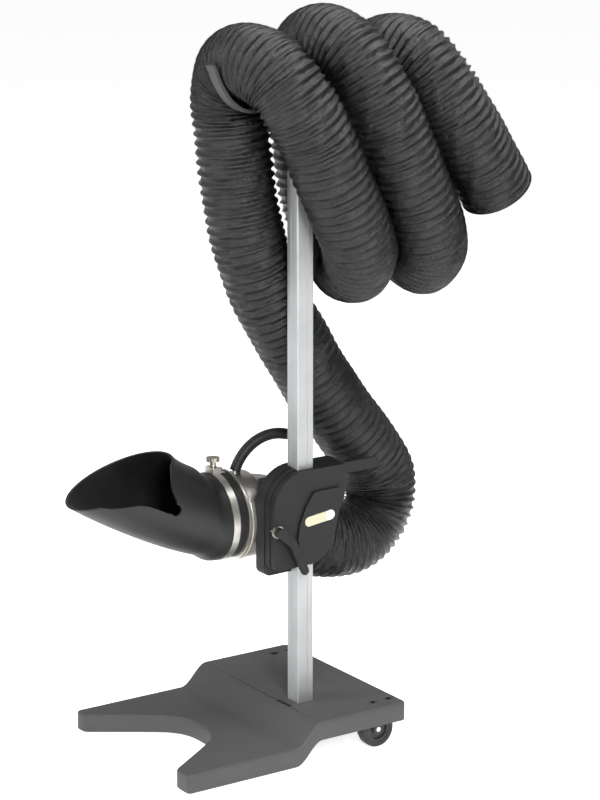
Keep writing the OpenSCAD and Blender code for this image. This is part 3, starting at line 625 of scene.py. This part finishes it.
def build_base():
    bm = bmesh.new()
    bm.faces.new([bm.verts.new((x * MM, y * MM, 0)) for x, y in base_outline()])
    for y in np.linspace(*CURVE_Y, 25):
        everything = bm.verts[:] + bm.edges[:] + bm.faces[:]
        bmesh.ops.bisect_plane(bm, geom=everything, plane_co=(0, y * MM, 0), plane_no=(0, 1, 0))
    skirt = set(bm.verts)
    old_faces = bm.faces[:]
    made = bmesh.ops.extrude_face_region(bm, geom=old_faces)["geom"]
    bmesh.ops.delete(bm, geom=[f for f in old_faces if f.is_valid], context="FACES_ONLY")
    top = {g for g in made if isinstance(g, bmesh.types.BMVert)}
    for v in bm.verts:
        v.co.z = (deck_top(v.co.y / MM) - (0 if v in top else SKIRT_H)) * MM
    bmesh.ops.delete(bm, geom=[e for e in bm.edges if not e.link_faces], context="EDGES")
    bmesh.ops.recalc_face_normals(bm, faces=bm.faces)
    if max(bm.faces, key=lambda f: f.calc_area()).normal.z < 0:
        bmesh.ops.reverse_faces(bm, faces=bm.faces)
    rim = [e for e in bm.edges if e.verts[0] in top and e.verts[1] in top
           and len(e.link_faces) == 2 and e.calc_face_angle(0) > 0.7]
    bmesh.ops.bevel(bm, geom=rim, offset=RIM_R * MM, segments=5, profile=0.5, affect="EDGES",
                    clamp_overlap=True)
    mesh = bpy.data.meshes.new("base_moulding")
    bm.to_mesh(mesh)
    bm.free()
    base = bpy.data.objects.new("base_moulding", mesh)
    bpy.context.scene.collection.objects.link(base)
    shell = base.modifiers.new("shell", "SOLIDIFY")
    shell.thickness = SHELL_T * MM
    shell.offset = -1
    shell.use_even_offset = True
    bake_modifiers(base)
    left, right = POST_X - LATCH_HALF_W, POST_X + LATCH_HALF_W
    latch_slot = [(left, LATCH_Y[0]), (right, LATCH_Y[0]), (right, LATCH_Y[1]), (left, LATCH_Y[1])]
    cutters = [prism("post_hole", square(POST_X, POST_Y, POST_HOLE_HALF), 30, 90),
               prism("latch_slot", latch_slot, 30, 90)]
    for x in (-DECK_BOLT_X, DECK_BOLT_X):
        for y in DECK_BOLT_Y:
            slot = capsule(x, y, BOLT_SLOT_LEN, BOLT_SLOT_W)
            cutters.append(prism("bolt_slot", slot, DECK_Z - BOLT_SLOT_DEPTH, DECK_Z + 9))
    cut(base, cutters)
    edges = base.modifiers.new("edges", "BEVEL")
    edges.width = 0.5 * MM
    edges.segments = 2
    edges.limit_method = "ANGLE"
    edges.angle_limit = math.radians(50)
    bake_modifiers(base)
    smooth_by_angle(base, 40)
    base.data.materials.clear()
    base.data.materials.append(finishes["base_plastic"])
    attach(base, "stand")
    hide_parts("base_shell")


build_base()


# ---------- nozzle ----------

DUCT_X, DUCT_Z = -24, 370
CUFF_R, CUFF_LEN, CUFF_Y, CUFF_T, WALL = 70, 36.5, -20.3, 5.6, 4.0
MOUTH = np.array([-22.0, -215.0, 456.0])
MOUTH_HALF_W, MOUTH_HALF_L, MOUTH_TILT = 72, 94, math.radians(19.6)


def mouth_rise(angle):
    """How far down each angle is, from 0 at the top to 1, and how steeply the scoop meets the mouth."""
    low = (1 - np.sin(angle)) / 2
    return low, np.radians(50 - 17 * low)


def scoop_ring(angle, t, d):
    """Points of the scoop round the angles, t along it and d inside its outer skin."""
    low, rise = mouth_rise(angle)
    r = CUFF_R - d
    start = np.stack([DUCT_X + r * np.cos(angle), 0 * angle + CUFF_Y, DUCT_Z + r * np.sin(angle)], 1)
    reach = MOUTH_HALF_L - d
    end = MOUTH + np.stack([(MOUTH_HALF_W - d) * np.cos(angle), reach * math.cos(MOUTH_TILT) * np.sin(angle),
                            reach * math.sin(MOUTH_TILT) * np.sin(angle)], 1)
    out = np.stack([0 * low, -(60 + 125 * low), 0 * low], 1)
    into = (110 + 200 * low)[:, None] * np.stack([0 * rise, -np.cos(rise), np.sin(rise)], 1)
    p = ((1 + 2 * t) * (1 - t) ** 2 * start + t * (1 - t) ** 2 * out
         + t * t * (3 - 2 * t) * end + t * t * (t - 1) * into)
    cuff = np.stack([DUCT_X + r * np.cos(angle), p[:, 1], DUCT_Z + r * np.sin(angle)], 1)
    k = np.clip((CUFF_Y - p[:, 1] - CUFF_LEN) / 28, 0, 1)
    k = (k * k * (3 - 2 * k))[:, None]
    return cuff + k * (p - cuff)


def build_nozzle():
    sides, steps = 176, 46
    angle = np.linspace(0, 2 * np.pi, sides, endpoint=False)
    ts = np.linspace(0, 0.985, steps)
    rise = mouth_rise(angle)[1]
    forward = np.stack([0 * rise, -np.cos(rise), np.sin(rise)], 1)
    rings = [scoop_ring(angle, 0, 0.9), scoop_ring(angle, 0, 0.25) - [0, 0.25, 0]]
    rings += [scoop_ring(angle, max(t, 0.006), 0) for t in ts]
    for phi in np.linspace(0, math.pi, 9):
        d = WALL / 2 * (1 - math.cos(phi))
        rings.append(scoop_ring(angle, 1.0, d) + forward * (WALL / 2) * (math.sin(phi) - 1))
    rings += [scoop_ring(angle, t, max(WALL, CUFF_T - 6 * t)) for t in ts[::-1]]
    grid = np.array(rings)
    n = len(grid)
    faces = []
    for i in range(n):
        a, b = i * sides, ((i + 1) % n) * sides
        faces += [(a + j, a + (j + 1) % sides, b + (j + 1) % sides, b + j) for j in range(sides)]
    nozzle = make_object("nozzle_rubber", grid.reshape(-1, 3) * MM, faces)
    fix_normals(nozzle)
    notch = [(-290, 440), (-270, 430), (-240, 430), (-213, 432), (-185, 420), (-159, 406), (-150, 424),
             (-160, 446), (-156, 466), (-140, 500), (-290, 500)]
    cut(nozzle, [prism("notch", rounded(notch), DUCT_X + 22, DUCT_X + 110, "x"),
                 prism("eye", arc((-154, 414), 9, 0, 350, 35), DUCT_X + 22, DUCT_X + 110, "x")])
    lips = nozzle.modifiers.new("lips", "BEVEL")
    lips.width = 1.0 * MM
    lips.segments = 3
    lips.limit_method = "ANGLE"
    lips.angle_limit = math.radians(55)
    bake_modifiers(nozzle)
    smooth_by_angle(nozzle, 50)
    nozzle.data.materials.clear()
    nozzle.data.materials.append(finishes["soft_rubber"])
    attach(nozzle, "nozzle")
    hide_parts("nozzle")


build_nozzle()


# ---------- handle sleeve ----------

def build_handle_sleeve():
    """Moulded rubber sleeve with fine rings round it and a rounded tip."""
    centre, bend_r, radius = np.array([DUCT_X, 72.0, 410.0]), 78.0, 9.0
    a0, a1, pitch = 72.0, 159.0, 3.4
    tip_rings = [(a0, radius * math.cos(q), -radius * math.sin(q)) for q in np.linspace(1.5, 0.05, 9)]
    length = math.radians(a1 - a0) * bend_r
    body = []
    for s in np.arange(0, length, pitch / 8):
        groove = 0.9 * max(0.0, math.cos(2 * math.pi * s / pitch)) ** 3 if s > 4 else 0.0
        body.append((a0 + math.degrees(s / bend_r), radius - groove, 0.0))
    end = [(a1, r, 0.0) for r in (radius - 0.6, radius - 1.4, 5.1)]
    sides = 40
    across = np.linspace(0, 2 * np.pi, sides, endpoint=False)
    grid = []
    for a, r, ahead in tip_rings + body + end:
        t = math.radians(a)
        out = np.array([0, math.cos(t), math.sin(t)])
        along = np.array([0, -math.sin(t), math.cos(t)])
        middle = centre + bend_r * out + ahead * along
        sideways = np.array([1.0, 0, 0])
        grid.append(middle + r * (np.cos(across)[:, None] * out + np.sin(across)[:, None] * sideways))
    grid = np.array(grid)
    n = len(grid)
    faces = []
    for i in range(n - 1):
        a, b = i * sides, (i + 1) * sides
        faces += [(a + j, a + (j + 1) % sides, b + (j + 1) % sides, b + j) for j in range(sides)]
    faces += [tuple(range(sides)), tuple(range((n - 1) * sides, n * sides))]
    sleeve = make_object("handle_sleeve", grid.reshape(-1, 3) * MM, faces)
    fix_normals(sleeve)
    sleeve.data.materials.append(finishes["soft_rubber"])
    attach(sleeve, "carriage")
    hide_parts("handle_grip")


build_handle_sleeve()
